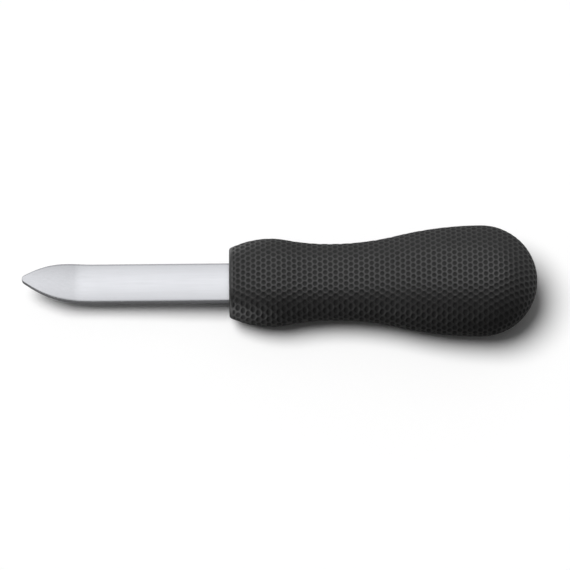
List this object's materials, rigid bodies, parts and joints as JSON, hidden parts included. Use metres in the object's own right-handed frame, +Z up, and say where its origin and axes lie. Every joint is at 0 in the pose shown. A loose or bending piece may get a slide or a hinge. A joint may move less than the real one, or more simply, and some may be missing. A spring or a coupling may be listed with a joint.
{
  "type": "oyster knife",
  "caption": "Short blunt-edged blade with a rounded point bent upwards, in an oval palm-swell handle of hard core and soft textured skin.",
  "frame": {"origin": "centre of the handle's flat front face, on the knife's long axis", "axes": "+X along the long axis towards the butt, so the blade points to -X; +Z up, the way the blade's point is bent; +Y across the width"},
  "size_m": [0.174, 0.038, 0.0308],
  "materials": {
    "blade_steel": "satin ground stainless steel",
    "core_plastic": "black moulded polypropylene, out of sight",
    "grip_rubber": "matt black soft elastomer with a fine honeycomb of dimples"
  },
  "bodies": {
    "root": {"blade": "blade_steel", "core": "core_plastic", "grip": "grip_rubber"}
  },
  "joints": []
}
